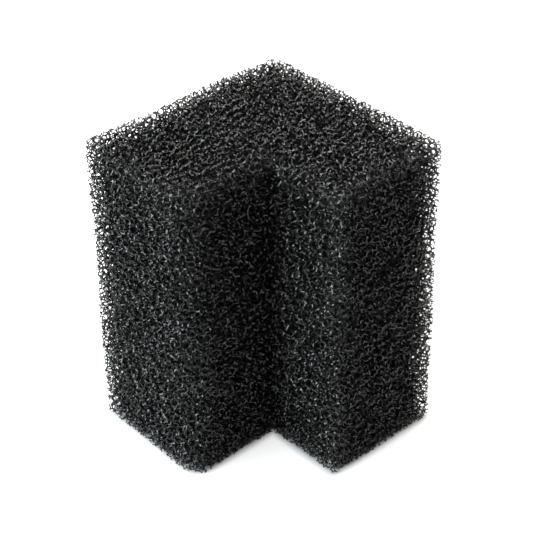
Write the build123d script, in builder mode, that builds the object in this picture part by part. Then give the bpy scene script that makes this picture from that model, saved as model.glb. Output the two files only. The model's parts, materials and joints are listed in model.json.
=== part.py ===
from build123d import *

import os

os.makedirs("parts", exist_ok=True)

# Filter foam block, cut from open-cell polyurethane. All sizes are in millimetres.
#
# The block is an upright prism with an L-shaped plan. It stands on the XY plane, centred on
# the Z axis by its bounding box. The corner at +X, -Y is cut out from top to bottom, so two
# arms are left: the left arm runs along -Y, and the right arm runs along +X.

# Driving dimensions
block_width = 54.0  # along X
block_depth = 55.5  # along Y
block_height = 77.0  # along Z
left_arm = 33.0  # thickness of the arm that runs along -Y, measured along X
right_arm = 31.5  # thickness of the arm that runs along +X, measured along Y
corner_radius = 2.5  # upright outer edges, where the cut cells have crumbled away
worn_radius = 5.0  # two of the upright edges, which have crumbled the most
notch_radius = 0.8  # upright inner edge, the width of the cutting wire's turn
rim_radius = 1.2  # edges of the top and bottom faces

# Derived plan positions
x_back = -block_width / 2
x_front = block_width / 2
y_front = -block_depth / 2
y_back = block_depth / 2
x_notch = x_back + left_arm
y_notch = y_back - right_arm

# The plan's corners in order, with the radius of each upright edge
corner_radii = {
    (x_back, y_back): worn_radius,
    (x_back, y_front): corner_radius,
    (x_notch, y_front): worn_radius,
    (x_notch, y_notch): notch_radius,
    (x_front, y_notch): corner_radius,
    (x_front, y_back): corner_radius,
}

with BuildPart() as foam_block:
    with BuildSketch(Plane.XY):
        with BuildLine():
            Polyline(*corner_radii, close=True)
        make_face()
        for corner, radius in corner_radii.items():
            fillet(vertices().sort_by_distance(corner)[0], radius=radius)
    extrude(amount=block_height)
    fillet(faces().sort_by(Axis.Z)[-1].edges(), radius=rim_radius)
    fillet(faces().sort_by(Axis.Z)[0].edges(), radius=rim_radius)

foam_block.part.label = "foam_block"
export_step(foam_block.part, "parts/foam_block.step")
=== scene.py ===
import json
import math

import bmesh
import bpy
import numpy as np
from mathutils import Euler, Matrix, Vector, kdtree, noise


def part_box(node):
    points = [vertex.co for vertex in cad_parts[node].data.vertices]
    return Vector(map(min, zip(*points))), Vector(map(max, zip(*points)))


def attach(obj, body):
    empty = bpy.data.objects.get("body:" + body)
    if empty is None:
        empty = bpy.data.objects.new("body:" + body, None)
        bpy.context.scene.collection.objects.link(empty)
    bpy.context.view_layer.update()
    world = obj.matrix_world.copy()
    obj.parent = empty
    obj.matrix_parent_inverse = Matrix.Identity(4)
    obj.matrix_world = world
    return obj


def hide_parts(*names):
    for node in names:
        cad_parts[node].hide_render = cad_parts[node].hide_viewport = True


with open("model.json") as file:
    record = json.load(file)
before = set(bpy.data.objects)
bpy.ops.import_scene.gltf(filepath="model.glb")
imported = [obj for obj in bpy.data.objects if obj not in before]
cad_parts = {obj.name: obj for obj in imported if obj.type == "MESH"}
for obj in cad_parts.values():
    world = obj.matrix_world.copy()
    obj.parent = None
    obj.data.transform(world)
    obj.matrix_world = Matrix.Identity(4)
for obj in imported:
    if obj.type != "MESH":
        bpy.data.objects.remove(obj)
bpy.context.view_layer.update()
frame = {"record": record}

# The foam is worked out in millimetres, in the frame of the CAD, and its meshes are in metres.
MM = 0.001

# --------------------------------------------------------------------------------------
# The block, from the frame
# --------------------------------------------------------------------------------------

EDGE_RADIUS = 1.2  # the outer edges, where the cut cells have crumbled away
WORN_RADIUS = 5.0  # two of the upright edges, which have crumbled the most

low, high = (np.array(corner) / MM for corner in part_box("foam_block"))
mounts = {mount["name"]: mount for mount in frame["record"]["mounts"]}
x_notch = mounts["notch_side_x"]["pos_m"][0] / MM
y_notch = mounts["notch_side_y"]["pos_m"][1] / MM

# Lowest and highest corner of each arm. The left arm runs along -Y, the right arm along +X.
ARMS = [
    (np.array([low[0], low[1], low[2]]), np.array([x_notch, high[1], high[2]])),
    (np.array([low[0], y_notch, low[2]]), np.array([high[0], high[1], high[2]])),
]
# The axes of the two worn edges, and which way is out from each, along X and along Y
WORN_EDGES = [
    (np.array([low[0] + WORN_RADIUS, high[1] - WORN_RADIUS]), np.array([-1, 1])),
    (np.array([x_notch - WORN_RADIUS, low[1] + WORN_RADIUS]), np.array([1, -1])),
]


def depth_in_block(points):
    """How far each point lies under the block's cut surface, negative outside it."""
    depths = []
    for a, b in ARMS:
        half = (b - a) / 2 - EDGE_RADIUS
        q = np.abs(points - (a + b) / 2) - half
        outside = np.linalg.norm(np.maximum(q, 0), axis=1)
        depths.append(EDGE_RADIUS - outside - np.minimum(q.max(axis=1), 0))
    depth = np.maximum(*depths)
    for axis, out in WORN_EDGES:
        past = points[:, :2] - axis
        worn = np.minimum(depth, WORN_RADIUS - np.linalg.norm(past, axis=1))
        depth = np.where((past * out > 0).all(axis=1), worn, depth)
    return depth


# --------------------------------------------------------------------------------------
# The foam's cells, and the struts between them
#
# Open-cell foam is what is left of a froth of bubbles once the films between them have
# gone. A strut is left where three bubbles met, and a node where four met. Those are the
# edges and the corners of the Voronoi diagram of the bubbles' centres. A window is the gap
# that a film left between two cells.
# --------------------------------------------------------------------------------------

CELL = 1.9  # mean width of a cell, in foam of about 20 pores per inch
PITCH = CELL * (math.pi / 3) ** (1 / 3)  # of the body-centred lattice with cells that large
LATTICE_TURN = (0.4, 0.7, 1.1)  # about X, Y and Z, out of line with the block
SCATTER = 0.28 * PITCH  # how far a cell strays from the lattice
LEAST_GAP = 0.8 * PITCH  # cells nearer to each other than this push each other away
PUSH = 0.4  # by this share of what is missing
PUSHERS = 10  # the nearest cells, the only ones looked at for that
PUSH_ROUNDS = 2
SHELL = 5.4  # how deep the struts are made: what lies deeper is too dark to show
MARGIN = 1.7 * CELL  # cells are made this far past the shell on both sides
NEIGHBOURS = 36  # of a cell that are looked at: it touches about 14 of them
WIDEST = 1.8 * CELL  # cells that touch are never further apart than this
LONGEST = 1.3 * CELL  # and no strut between them is longer than this
AT_A_TIME = 250  # cells looked at together, to save memory


def nearest(points, count):
    """The numbers of the count points nearest to each point, itself left out."""
    tree = kdtree.KDTree(len(points))
    for i, p in enumerate(points):
        tree.insert(p, i)
    tree.balance()
    near = [[found[1] for found in tree.find_n(p, count + 1)] for p in points]
    return np.array(near)[:, 1:]


def cell_centres():
    """A body-centred lattice turned out of line with the block, scattered, and evened out.

    The cells are then alike in size, but in no pattern.
    """
    rng = np.random.default_rng(20)
    reach = math.ceil(np.linalg.norm(high - low) / 2 / PITCH) + 3
    steps = np.arange(-reach, reach + 1)
    grid = np.stack(np.meshgrid(steps, steps, steps), axis=-1).reshape(-1, 3)
    turn = np.array(Euler(LATTICE_TURN).to_matrix())
    sites = np.vstack([grid, grid + 0.5]) * PITCH @ turn.T + (low + high) / 2
    depth = depth_in_block(sites)
    sites = sites[(depth > -MARGIN) & (depth < SHELL + MARGIN)]
    sites += rng.normal(0, SCATTER, sites.shape)
    for _ in range(PUSH_ROUNDS):
        apart = sites[:, None] - sites[nearest(sites, PUSHERS)]
        distance = np.linalg.norm(apart, axis=2, keepdims=True)
        push = np.maximum(LEAST_GAP - distance, 0) / distance * apart
        sites += PUSH * push.sum(axis=1)
    return sites


def voronoi_struts(cells):
    """The nodes and struts between the cells.

    Returns the nodes' places, each node's four cells in rising order, each strut's three
    cells in rising order, its two nodes, and the fourth cell at each of them.
    """
    near = nearest(cells, NEIGHBOURS)
    first, second = np.triu_indices(NEIGHBOURS, 1)
    found_cells, found_fourth, found_ends = [], [], []
    for start in range(0, len(cells), AT_A_TIME):
        i = np.arange(start, min(start + AT_A_TIME, len(cells)))
        beside = near[i]
        to = cells[beside] - cells[i][:, None]
        half = (to**2).sum(axis=2) / 2
        gap = np.linalg.norm(to[:, first] - to[:, second], axis=2)
        once = (beside[:, first] > i[:, None]) & (beside[:, second] > i[:, None])
        row, pair = np.nonzero(once & (gap < WIDEST))
        a, b = to[row, first[pair]], to[row, second[pair]]
        along = np.cross(a, b)
        on_line = (
            half[row, first[pair], None] * np.cross(b, along)
            + half[row, second[pair], None] * np.cross(along, a)
        ) / (along**2).sum(axis=1)[:, None]
        # The line of points as near to all three cells runs until a fourth cell is nearer.
        slope = np.einsum("ek,enk->en", along, to[row])
        room = half[row] - np.einsum("ek,enk->en", on_line, to[row])
        slope[np.arange(len(row)), first[pair]] = 0
        slope[np.arange(len(row)), second[pair]] = 0
        with np.errstate(divide="ignore", invalid="ignore"):
            stop = room / slope
        ends = np.where(slope > 1e-9, stop, np.inf)
        begins = np.where(slope < -1e-9, stop, -np.inf)
        last, at_last = ends.min(axis=1), ends.argmin(axis=1)
        fore, at_fore = begins.max(axis=1), begins.argmax(axis=1)
        real = (last > fore) & np.isfinite(last) & np.isfinite(fore)
        row, pair, along, on_line = row[real], pair[real], along[real], on_line[real]
        fore, last, at_fore, at_last = fore[real], last[real], at_fore[real], at_last[real]
        base = cells[i[row]] + on_line
        three = [i[row], beside[row, first[pair]], beside[row, second[pair]]]
        found_cells.append(np.stack(three, axis=1))
        found_fourth.append(np.stack([beside[row, at_fore], beside[row, at_last]], axis=1))
        ends = [base + fore[:, None] * along, base + last[:, None] * along]
        found_ends.append(np.stack(ends, axis=1))
    strut_cells = np.sort(np.vstack(found_cells), axis=1)
    fourth = np.vstack(found_fourth)
    ends = np.vstack(found_ends)
    # Struts share a node where the same four cells meet. The four cells' numbers are made
    # into one in two steps, because in one step it would be too large.
    both = np.repeat(strut_cells[:, None], 2, axis=1)
    four = np.sort(np.concatenate([both, fourth[:, :, None]], axis=2).reshape(-1, 4), axis=1)
    count = len(cells)
    _, pair = np.unique(four[:, 0] * count + four[:, 1], return_inverse=True)
    key = (pair * count + four[:, 2]) * count + four[:, 3]
    _, at, node = np.unique(key, return_index=True, return_inverse=True)
    # What comes out longer is nearly all at the edge of the cells, where neighbours are missing.
    sound = np.linalg.norm(ends[:, 0] - ends[:, 1], axis=1) < LONGEST
    places = ends.reshape(-1, 3)[at]
    return places, four[at], strut_cells[sound], node.reshape(-1, 2)[sound], fourth[sound]


def evened(places, struts, rounds):
    """Moves each node towards the mean of the nodes it is joined to.

    Surface tension does the same in a froth: windows are round, and struts meet evenly.
    """
    ends = np.concatenate([struts[:, 0], struts[:, 1]])
    others = np.concatenate([struts[:, 1], struts[:, 0]])
    joined = np.bincount(ends, minlength=len(places))
    for _ in range(rounds):
        total = [
            np.bincount(ends, weights=places[others, k], minlength=len(places))
            for k in range(3)
        ]
        mean = np.stack(total, axis=1) / np.maximum(joined, 1)[:, None]
        places = np.where((joined == 4)[:, None], (places + mean) / 2, places)
    return places


cells = cell_centres()
places, node_cells, strut_cells, struts, fourth = voronoi_struts(cells)
places = evened(places, struts, rounds=2)

# --------------------------------------------------------------------------------------
# The cut: which nodes and struts are left in the block
# --------------------------------------------------------------------------------------

PROUD = 0.35  # how far the cut ends stand out of the solid's faces
WAVES = 6  # in the cut surface
WAVE_HEIGHT = 0.12
WAVE_RATE = 0.16  # spread of how fast a wave turns along each axis, in radians per millimetre
LEVEL = 0.15  # the base is cut level at this height, and nodes below it fall away
PRESSED = 0.05  # and what still reaches lower than this is pressed flat at this height
HOLDING_ROUNDS = 10  # a node may hang from deeper foam by a chain of this many struts

rng = np.random.default_rng(7)
waves = rng.normal(0, WAVE_RATE, (WAVES, 3))
phases = rng.uniform(0, 2 * math.pi, WAVES)
depth = depth_in_block(places) + PROUD
depth += WAVE_HEIGHT * np.sin(places @ waves.T + phases).sum(axis=1)
depth = np.minimum(depth, places[:, 2] - low[2] - LEVEL)
joined = np.bincount(struts.ravel(), minlength=len(places))
inside = (depth > 0) & (depth < SHELL) & (joined == 4)

# What hangs on to nothing falls away with the offcut.
held = inside & (depth > CELL)
for _ in range(HOLDING_ROUNDS):
    whole = inside[struts].all(axis=1)
    reached = np.zeros(len(places), bool)
    reached[struts[whole & held[struts].any(axis=1)].ravel()] = True
    held |= reached
inside &= held

# --------------------------------------------------------------------------------------
# The struts' mesh
#
# A strut has three edges, one in each window beside it, and three sides, one towards each
# of its cells. A node has six corners, one in each window that meets there, and a small
# face towards each of its four cells. Struts share their nodes' corners.
# --------------------------------------------------------------------------------------

NODE_REACH = 0.185  # from a node to each of its corners
NODE_SPREAD = (0.9, 1.15)  # of that, from node to node
REACH_LIMIT = 0.8  # a node's corners reach no further than this share of its shortest strut
MIDDLE_REACH = 0.095  # from a strut's axis to each of its edges, half way along
MIDDLE_SPREAD = (0.85, 1.15)  # of that, from strut to strut
DETAIL = 2.0  # struts nearer the surface than this are thinner half way along, and bow
BOW = 0.05  # sideways, as a share of a strut's length
STUB = 0.32  # a cut strut keeps at least this share of its length
CUT_SPREAD = 0.08  # of where a cut strut ends, as a share of its length
CUT_REACH = 0.9 * MIDDLE_REACH  # from a strut's axis to each of its edges, at a cut end


def unit(vectors):
    return vectors / np.maximum(np.linalg.norm(vectors, axis=-1, keepdims=True), 1e-9)


node_number = np.full(len(places), -1)
node_number[inside] = np.arange(inside.sum())
here = places[inside]

# Directions of the struts at each node, in the order of the cell that each one doesn't touch.
toward = np.zeros((len(here), 4, 3))
shortest = np.full(len(here), np.inf)
span = places[struts[:, 1]] - places[struts[:, 0]]
for end, sign in ((0, 1.0), (1, -1.0)):
    at = struts[:, end]
    kept = inside[at]
    untouched = (node_cells[at[kept]] == fourth[kept, end, None]).argmax(axis=1)
    toward[node_number[at[kept]], untouched] = unit(sign * span[kept])
    np.minimum.at(shortest, node_number[at[kept]], np.linalg.norm(span[kept], axis=1))

# Each pair of a node's cells shares a window, which lies between the two struts that touch
# them both: those are the struts that miss one of the other two cells.
PAIRS = [(0, 1), (0, 2), (0, 3), (1, 2), (1, 3), (2, 3)]
pair_number = np.zeros((4, 4), int)
for n, (a, b) in enumerate(PAIRS):
    pair_number[a, b] = pair_number[b, a] = n
reach = NODE_REACH * rng.uniform(*NODE_SPREAD, len(here))
reach = np.minimum(reach, REACH_LIMIT * shortest)
windows = np.stack([unit(toward[:, a] + toward[:, b]) for a, b in reversed(PAIRS)], axis=1)
corners = (here[:, None] + reach[:, None, None] * windows).reshape(-1, 3)

points = [corners]
quads, quad_cells, quad_levels = [], [], []
triangles, triangle_cells, triangle_levels = [], [], []


def ring(chosen, end):
    """The numbers of the three corners that each chosen strut has at one of its nodes.

    The nth is in the window that the strut's nth cell doesn't touch.
    """
    at = struts[chosen, end]
    untouched = (node_cells[at] == fourth[chosen, end, None]).argmax(axis=1)
    order = np.arange(3) + (np.arange(3) >= untouched[:, None])
    pair = pair_number[order[:, [1, 2, 0]], order[:, [2, 0, 1]]]
    return node_number[at][:, None] * len(PAIRS) + pair


def outward(axis, offsets):
    """Unit vectors from a strut's axis towards its three edges."""
    return unit(offsets - (offsets * axis[:, None]).sum(axis=2, keepdims=True) * axis[:, None])


def turned(axis, out, *rows):
    """Puts each strut's three edges in the same order around its axis, in every row given."""
    left = (axis * np.cross(out[:, 1] - out[:, 0], out[:, 2] - out[:, 0])).sum(axis=1) < 0
    for row in rows:
        row[left] = row[left][:, [0, 2, 1]]


def add_ring(centre, offsets):
    """Adds three points around each strut's axis, and returns their numbers."""
    start = sum(len(block) for block in points)
    points.append((centre[:, None] + offsets).reshape(-1, 3))
    return start + np.arange(3 * len(centre)).reshape(-1, 3)


def add_sides(ring_a, ring_b, facing, level):
    """Adds each strut's three sides between two rings.

    The side between two edges faces the cell that the windows of both edges touch.
    """
    for a, b, c in ((0, 1, 2), (1, 2, 0), (2, 0, 1)):
        quads.append(np.stack([ring_a[:, a], ring_a[:, b], ring_b[:, b], ring_b[:, a]], axis=1))
        quad_cells.append(facing[:, c])
        quad_levels.append(level)


def add_triangles(three, facing, level):
    triangles.append(three)
    triangle_cells.append(facing)
    triangle_levels.append(level)


def add_whole_struts():
    """Struts between two nodes."""
    chosen = np.flatnonzero(inside[struts].all(axis=1))
    start, stop = places[struts[chosen, 0]], places[struts[chosen, 1]]
    axis = unit(stop - start)
    ring_a, ring_b = ring(chosen, 0), ring(chosen, 1)
    facing = strut_cells[chosen]
    offsets = corners[ring_a] - start[:, None] + corners[ring_b] - stop[:, None]
    out = outward(axis, offsets)
    bow = rng.normal(0, BOW, (len(chosen), 3))
    bow -= (bow * axis).sum(axis=1, keepdims=True) * axis
    middle = (start + stop) / 2 + bow * np.linalg.norm(stop - start, axis=1, keepdims=True)
    thick = MIDDLE_REACH * rng.uniform(*MIDDLE_SPREAD, len(chosen))
    fine = depth[struts[chosen]].mean(axis=1) < DETAIL
    ring_m = add_ring(middle[fine], out[fine] * thick[fine, None, None])
    turned(axis[fine], out[fine], ring_m)
    turned(axis, out, ring_a, ring_b, facing)
    level = middle[:, 2]
    add_sides(ring_a[fine], ring_m, facing[fine], level[fine])
    add_sides(ring_m, ring_b[fine], facing[fine], level[fine])
    add_sides(ring_a[~fine], ring_b[~fine], facing[~fine], level[~fine])


def add_cut_struts(end):
    """Struts that the knife went through, past the given end. They stop at the cut face."""
    chosen = np.flatnonzero(inside[struts[:, end]] & ~inside[struts[:, 1 - end]])
    start, stop = places[struts[chosen, end]], places[struts[chosen, 1 - end]]
    axis = unit(stop - start)
    under, over = depth[struts[chosen, end]], depth[struts[chosen, 1 - end]]
    # Where the far node is missing, but lies under the cut face, the strut ends half way.
    share = np.where(over < 0, under / np.maximum(under - over, 1e-6), 0.5)
    share = np.clip(share + rng.normal(0, CUT_SPREAD, len(chosen)), STUB, 1)
    ring_a = ring(chosen, end)
    facing = strut_cells[chosen]
    out = outward(axis, corners[ring_a] - start[:, None])
    tip = start + share[:, None] * (stop - start)
    ring_c = add_ring(tip, out * CUT_REACH)
    turned(axis, out, ring_a, ring_c, facing)
    add_sides(ring_a, ring_c, facing, start[:, 2])
    add_triangles(ring_c, np.full(len(chosen), -1), start[:, 2])


def add_node_faces():
    for a in range(4):
        first = len(PAIRS) * np.arange(len(here))[:, None]
        face = first + np.array([pair_number[a, b] for b in range(4) if b != a])
        p = corners[face]
        normal = np.cross(p[:, 1] - p[:, 0], p[:, 2] - p[:, 0])
        inward = (normal * (p.mean(axis=1) - here)).sum(axis=1) < 0
        face[inward] = face[inward][:, ::-1]
        add_triangles(face, node_cells[inside, a], here[:, 2])


add_whole_struts()
add_cut_struts(0)
add_cut_struts(1)
add_node_faces()
points = np.concatenate(points)
points[:, 2] = np.maximum(points[:, 2], low[2] + PRESSED)
quads, quad_cells, quad_levels = map(np.concatenate, (quads, quad_cells, quad_levels))
triangles, triangle_cells, triangle_levels = map(
    np.concatenate, (triangles, triangle_cells, triangle_levels)
)

# --------------------------------------------------------------------------------------
# Black foam
# --------------------------------------------------------------------------------------


def black_foam():
    material = bpy.data.materials.new("black_foam")
    material.use_nodes = True
    tree = material.node_tree
    shader = tree.nodes["Principled BSDF"]
    place = tree.nodes.new("ShaderNodeTexCoord").outputs["Object"]

    def cloudy(scale, detail):
        node = tree.nodes.new("ShaderNodeTexNoise")
        node.inputs["Scale"].default_value = scale
        node.inputs["Detail"].default_value = detail
        tree.links.new(place, node.inputs["Vector"])
        return node.outputs["Fac"]

    def ramp(factor, *stops):
        node = tree.nodes.new("ShaderNodeValToRGB")
        tree.links.new(factor, node.inputs["Fac"])
        for element, (position, colour) in zip(node.color_ramp.elements, stops):
            element.position = position
            element.color = (*colour, 1)
        return node.outputs["Color"]

    cool_black, warm_black = (0.0025, 0.0025, 0.0026), (0.0065, 0.0063, 0.0058)
    colour = ramp(cloudy(60, 3), (0.35, cool_black), (0.65, warm_black))
    tree.links.new(colour, shader.inputs["Base Color"])
    glossy, duller = (0.13, 0.13, 0.13), (0.28, 0.28, 0.28)
    tree.links.new(
        ramp(cloudy(900, 2), (0.3, glossy), (0.7, duller)), shader.inputs["Roughness"]
    )
    shader.inputs["Specular IOR Level"].default_value = 0.4
    return material


# --------------------------------------------------------------------------------------
# Pieces: the foam in level slices, so that no mesh is too large, and a dark body inside it that
# stands in for the shade of the deeper foam
# --------------------------------------------------------------------------------------

LARGEST = 197_000  # triangles in a slice
MAP_MARGIN = 1.0  # around the block, in the struts' flat map
CORE_DEPTH = SHELL - 0.8  # of the dark body that stands in for the shade of the deeper foam: the deepest struts reach this body, and end in it


def sharp_edges(mesh, facing):
    """Whether each edge of the mesh is where the side of one cell meets that of the next.

    A strut is smooth along its sides, and its edges are sharp. Facing is the cell that the
    face of each loop faces.
    """
    edge = np.zeros(len(mesh.loops), np.int32)
    mesh.loops.foreach_get("edge_index", edge)
    least = np.full(len(mesh.edges), facing.max())
    most = np.full(len(mesh.edges), facing.min())
    np.minimum.at(least, edge, facing)
    np.maximum.at(most, edge, facing)
    return least != most


def foam_mesh(name, in_quads, in_triangles):
    fours, threes = quads[in_quads], triangles[in_triangles]
    used, loops = np.unique(np.concatenate([fours.ravel(), threes.ravel()]), return_inverse=True)
    place = points[used] * MM
    mesh = bpy.data.meshes.new(name)
    mesh.vertices.add(len(used))
    mesh.vertices.foreach_set("co", place.ravel())
    mesh.loops.add(len(loops))
    mesh.loops.foreach_set("vertex_index", loops.ravel())
    starts = [4 * np.arange(len(fours)), 4 * len(fours) + 3 * np.arange(len(threes))]
    mesh.polygons.add(len(fours) + len(threes))
    mesh.polygons.foreach_set("loop_start", np.concatenate(starts))
    mesh.update(calc_edges=True)
    mesh.shade_smooth()
    facing = [np.repeat(quad_cells[in_quads], 4), np.repeat(triangle_cells[in_triangles], 3)]
    sharp = mesh.attributes.new("sharp_edge", "BOOLEAN", "EDGE")
    sharp.data.foreach_set("value", sharp_edges(mesh, np.concatenate(facing)))
    # A flat map from above. The foam's colour drifts too slowly to need more.
    across = (high - low)[:2].max() + 2 * MAP_MARGIN
    flat = (place[loops.ravel(), :2] / MM - low[:2] + MAP_MARGIN) / across
    mesh.uv_layers.new(name="OFBake").data.foreach_set("uv", flat.ravel())
    return mesh


def core_mesh(name, depth, halvings=5, largest_edge=2.0, lump=0.5, lumps_per_mm=0.9):
    """A lumpy body of the block's plan, this far under its faces: painted shade in place of the
    deeper struts.

    Edges longer than the largest are cut in half up to this many times.
    """
    inner_low, inner_high = low + depth, high - depth
    plan = [
        (inner_low[0], inner_low[1]),
        (x_notch - depth, inner_low[1]),
        (x_notch - depth, y_notch + depth),
        (inner_high[0], y_notch + depth),
        (inner_high[0], inner_high[1]),
        (inner_low[0], inner_high[1]),
    ]
    shape = bmesh.new()
    base = shape.faces.new([shape.verts.new((x, y, inner_low[2])) for x, y in plan])
    grown = bmesh.ops.extrude_face_region(shape, geom=[base])["geom"]
    for vert in (v for v in grown if isinstance(v, bmesh.types.BMVert)):
        vert.co.z = inner_high[2]
    bmesh.ops.recalc_face_normals(shape, faces=shape.faces)
    bmesh.ops.triangulate(shape, faces=shape.faces)
    for _ in range(halvings):
        long = [edge for edge in shape.edges if edge.calc_length() > largest_edge]
        bmesh.ops.subdivide_edges(shape, edges=long, cuts=1)
        wide = [face for face in shape.faces if len(face.verts) > 3]
        bmesh.ops.triangulate(shape, faces=wide)
    shape.normal_update()
    for vert in shape.verts:
        vert.co += lump * noise.noise(vert.co * lumps_per_mm) * vert.normal
    bmesh.ops.scale(shape, vec=(MM, MM, MM), verts=shape.verts)
    mesh = bpy.data.meshes.new(name)
    shape.to_mesh(mesh)
    shape.free()
    mesh.shade_smooth()
    return mesh


def add_foam(mesh):
    piece = bpy.data.objects.new(mesh.name, mesh)
    bpy.context.scene.collection.objects.link(piece)
    mesh.materials.append(foam)
    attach(piece, "root")
    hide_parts("foam_block")


foam = black_foam()
levels = np.concatenate([quad_levels, quad_levels, triangle_levels])
slices = math.ceil(len(levels) / LARGEST)
between = np.quantile(levels, np.arange(1, slices) / slices)
quad_slice = np.searchsorted(between, quad_levels)
triangle_slice = np.searchsorted(between, triangle_levels)
for n in range(slices):
    add_foam(foam_mesh(f"foam_slice_{n + 1:02d}", quad_slice == n, triangle_slice == n))
# Painted shade: a dark body in the foam's material stands in for the deeper foam, which lies in
# shade.
add_foam(core_mesh("foam_shade_core", CORE_DEPTH))

# --------------------------------------------------------------------------------------
# Floor, light and camera
# --------------------------------------------------------------------------------------

GLOW = 0.65  # of the floor away from the block; it fades out near the block's base and is gone under it, which paints a contact shadow there


def white_floor():
    """White paper that also glows, so that it stays white close to the block. Under the block and
    just past its base the glow fades out, which paints a contact shadow.
    """
    material = bpy.data.materials.new("white_floor")
    material.use_nodes = True
    tree = material.node_tree
    shader = tree.nodes["Principled BSDF"]
    shader.inputs["Base Color"].default_value = (0.45, 0.45, 0.45, 1)
    shader.inputs["Roughness"].default_value = 0.9
    shader.inputs["Emission Color"].default_value = (1, 1, 1, 1)
    glow = tree.nodes.new("ShaderNodeAttribute")
    glow.attribute_name = "glow"
    tree.links.new(glow.outputs["Fac"], shader.inputs["Emission Strength"])
    return material


def add_floor(size=6.0, fine_size=0.12, fine_step=0.0005, fade_from=1.0, fade_over=2.5):
    """A square floor, of small faces near the block, where the glow fades out into a painted
    contact shadow.

    The fade starts this far under the block's side faces, and takes this far, in millimetres.
    """
    fine = np.arange(-fine_size / 2, fine_size / 2, fine_step)
    lines = np.concatenate([[-size / 2], fine, [size / 2]])
    x, y = np.meshgrid(lines, lines)
    corners = np.stack([x, y, np.zeros_like(x)], axis=-1).reshape(-1, 3)
    number = np.arange(len(corners)).reshape(x.shape)
    sides = [number[:-1, :-1], number[:-1, 1:], number[1:, 1:], number[1:, :-1]]
    mesh = bpy.data.meshes.new("floor")
    mesh.from_pydata(corners.tolist(), [], np.stack(sides, axis=-1).reshape(-1, 4).tolist())
    beside_block = corners / MM + [0, 0, (low[2] + high[2]) / 2]
    # Painted shadow: the glow is full just past the block's base and fades to none under it.
    share = np.clip((fade_from - depth_in_block(beside_block)) / fade_over, 0, 1)
    mesh.attributes.new("glow", "FLOAT", "POINT").data.foreach_set("value", GLOW * share)
    mesh.materials.append(white_floor())
    floor = bpy.data.objects.new("floor", mesh)
    bpy.context.scene.collection.objects.link(floor)


add_floor()


def studio():
    """A room that is dim above, and pale at the horizon, which is behind the low views."""
    world = bpy.data.worlds.new("studio")
    world.use_nodes = True
    tree = world.node_tree
    direction = tree.nodes.new("ShaderNodeTexCoord").outputs["Generated"]
    height = tree.nodes.new("ShaderNodeSeparateXYZ")
    tree.links.new(direction, height.inputs["Vector"])
    ramp = tree.nodes.new("ShaderNodeValToRGB")
    tree.links.new(height.outputs["Z"], ramp.inputs["Fac"])
    pale, dim = ramp.color_ramp.elements
    pale.position, pale.color = 0.12, (0.55, 0.55, 0.55, 1)
    dim.position, dim.color = 0.4, (0.04, 0.04, 0.04, 1)
    tree.links.new(ramp.outputs["Color"], tree.nodes["Background"].inputs["Color"])
    return world


bpy.context.scene.world = studio()
bpy.context.scene.view_settings.view_transform = "Standard"


def softbox(name, place, size, brightness, colour=(1, 1, 1)):
    """A square lamp that faces the block. White paper in the open is about as bright as 1."""
    light = bpy.data.lights.new(name, "AREA")
    light.shape = "SQUARE"
    light.size = size
    light.energy = brightness * math.pi * size**2
    light.color = colour
    lamp = bpy.data.objects.new(name, light)
    bpy.context.scene.collection.objects.link(lamp)
    lamp.location = Vector(place)
    toward_block = Vector((low + high) / 2 * MM) - lamp.location
    lamp.rotation_euler = toward_block.to_track_quat("-Z", "Y").to_euler()


# The light from the window's side is cool, and the light from behind is warm.
softbox("overhead", (-0.25, 0.0, 1.0), 1.5, 3.6, (1.0, 0.985, 0.985))
softbox("window", (-0.35, -0.95, 0.4), 0.8, 12.7, (0.84, 0.96, 1.0))
softbox("behind", (-0.3, 0.9, 0.6), 0.8, 5.2, (1.0, 0.99, 0.8))

# The camera looks down over the notch. It is placed by the point that it looks at, its
# bearing from +X and its height angle, its distance, and its small tilt to one side.
BEARING, RISE, TILT = math.radians(-41.0), math.radians(35.9), math.radians(-1.2)
DISTANCE = 0.366
target = Vector((-0.0017, 0.00185, 0.0385))
back = Vector(
    (math.cos(RISE) * math.cos(BEARING), math.cos(RISE) * math.sin(BEARING), math.sin(RISE))
)
camera = bpy.data.objects.new("camera", bpy.data.cameras.new("camera"))
bpy.context.scene.collection.objects.link(camera)
camera.matrix_world = (
    Matrix.Translation(target + DISTANCE * back)
    @ (-back).to_track_quat("-Z", "Y").to_matrix().to_4x4()
    @ Matrix.Rotation(TILT, 4, "Z")
)
camera.data.sensor_fit = "HORIZONTAL"
camera.data.sensor_width = 36
camera.data.lens = 107
camera.data.clip_start = 0.01
bpy.context.scene.camera = camera
